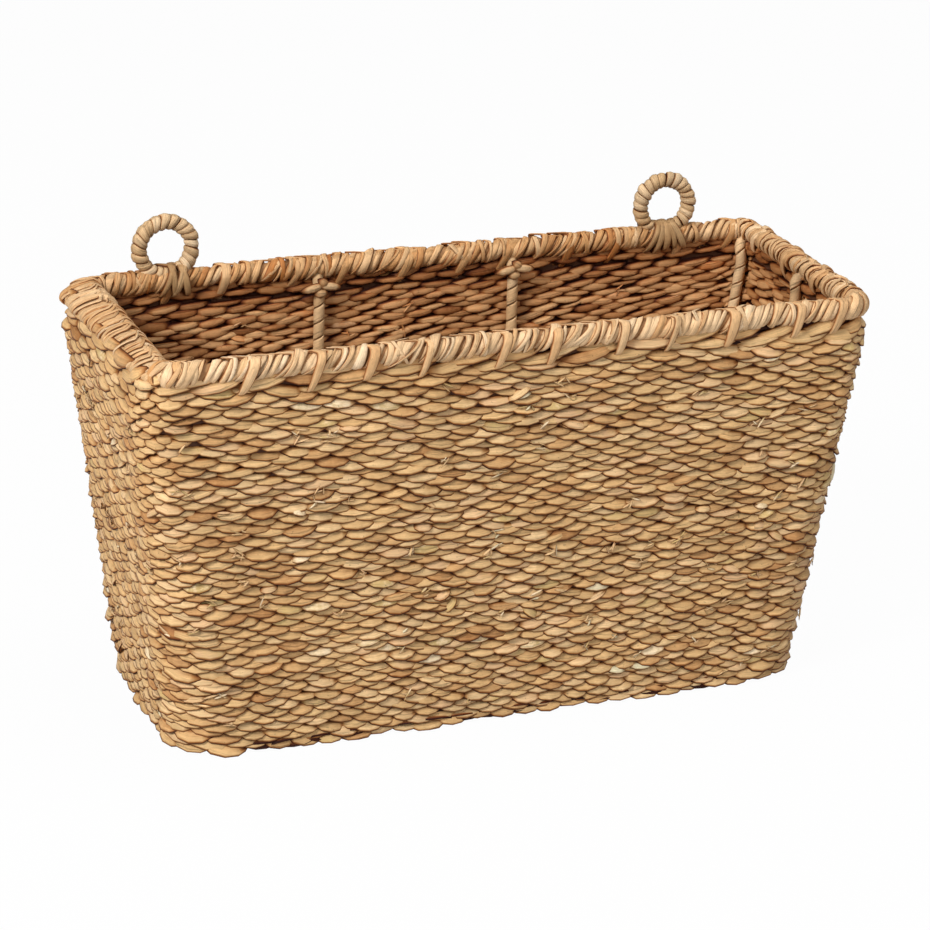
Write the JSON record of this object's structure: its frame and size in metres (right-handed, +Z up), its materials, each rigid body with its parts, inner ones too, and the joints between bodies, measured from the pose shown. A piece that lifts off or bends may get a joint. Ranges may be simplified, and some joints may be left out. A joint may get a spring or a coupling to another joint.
{
  "type": "wall storage basket",
  "caption": "Rectangular twined leaf-fibre basket on a wound wire frame, open at the top, flat at the back, with wound hanging rings on its back rim.",
  "frame": {"origin": "underside of the floor, under the middle of the basket", "axes": "+Z up, +Y towards the wall that the back lies against, X along the wall"},
  "size_m": [0.4571, 0.1818, 0.2808],
  "materials": {
    "steel_rod": "satin",
    "leaf_weave": "matte",
    "leaf_winding": "matte",
    "leaf_floor_winding": "matte"
  },
  "bodies": {
    "root": {"wall_weave": "leaf_weave", "floor_weave": "leaf_weave", "base_rod": "steel_rod", "base_rod_wrap": "leaf_floor_winding", "cross_left_rod": "steel_rod", "cross_left_wrap": "leaf_floor_winding", "cross_right_rod": "steel_rod", "cross_right_wrap": "leaf_floor_winding", "strut_back_left_rod": "steel_rod", "strut_back_left_wrap": "leaf_winding", "strut_back_right_rod": "steel_rod", "strut_back_right_wrap": "leaf_winding", "strut_front_left_rod": "steel_rod", "strut_front_left_wrap": "leaf_winding", "strut_front_right_rod": "steel_rod", "strut_front_right_wrap": "leaf_winding", "strut_end_left_rod": "steel_rod", "strut_end_left_wrap": "leaf_winding", "strut_end_right_rod": "steel_rod", "strut_end_right_wrap": "leaf_winding", "strut_corner_back_left_rod": "steel_rod", "strut_corner_back_left_wrap": "leaf_winding", "strut_corner_front_left_rod": "steel_rod", "strut_corner_front_left_wrap": "leaf_winding", "strut_corner_front_right_rod": "steel_rod", "strut_corner_front_right_wrap": "leaf_winding", "strut_corner_back_right_rod": "steel_rod", "strut_corner_back_right_wrap": "leaf_winding", "rim_rod": "steel_rod", "rim_border_main": "leaf_weave", "rim_border_back": "leaf_weave", "rim_binding_main": "leaf_winding", "rim_binding_back": "leaf_winding", "ring_left_rod": "steel_rod", "ring_left_wrap": "leaf_winding", "ring_left_lashing": "leaf_winding", "ring_right_rod": "steel_rod", "ring_right_wrap": "leaf_winding", "ring_right_lashing": "leaf_winding"}
  },
  "joints": []
}
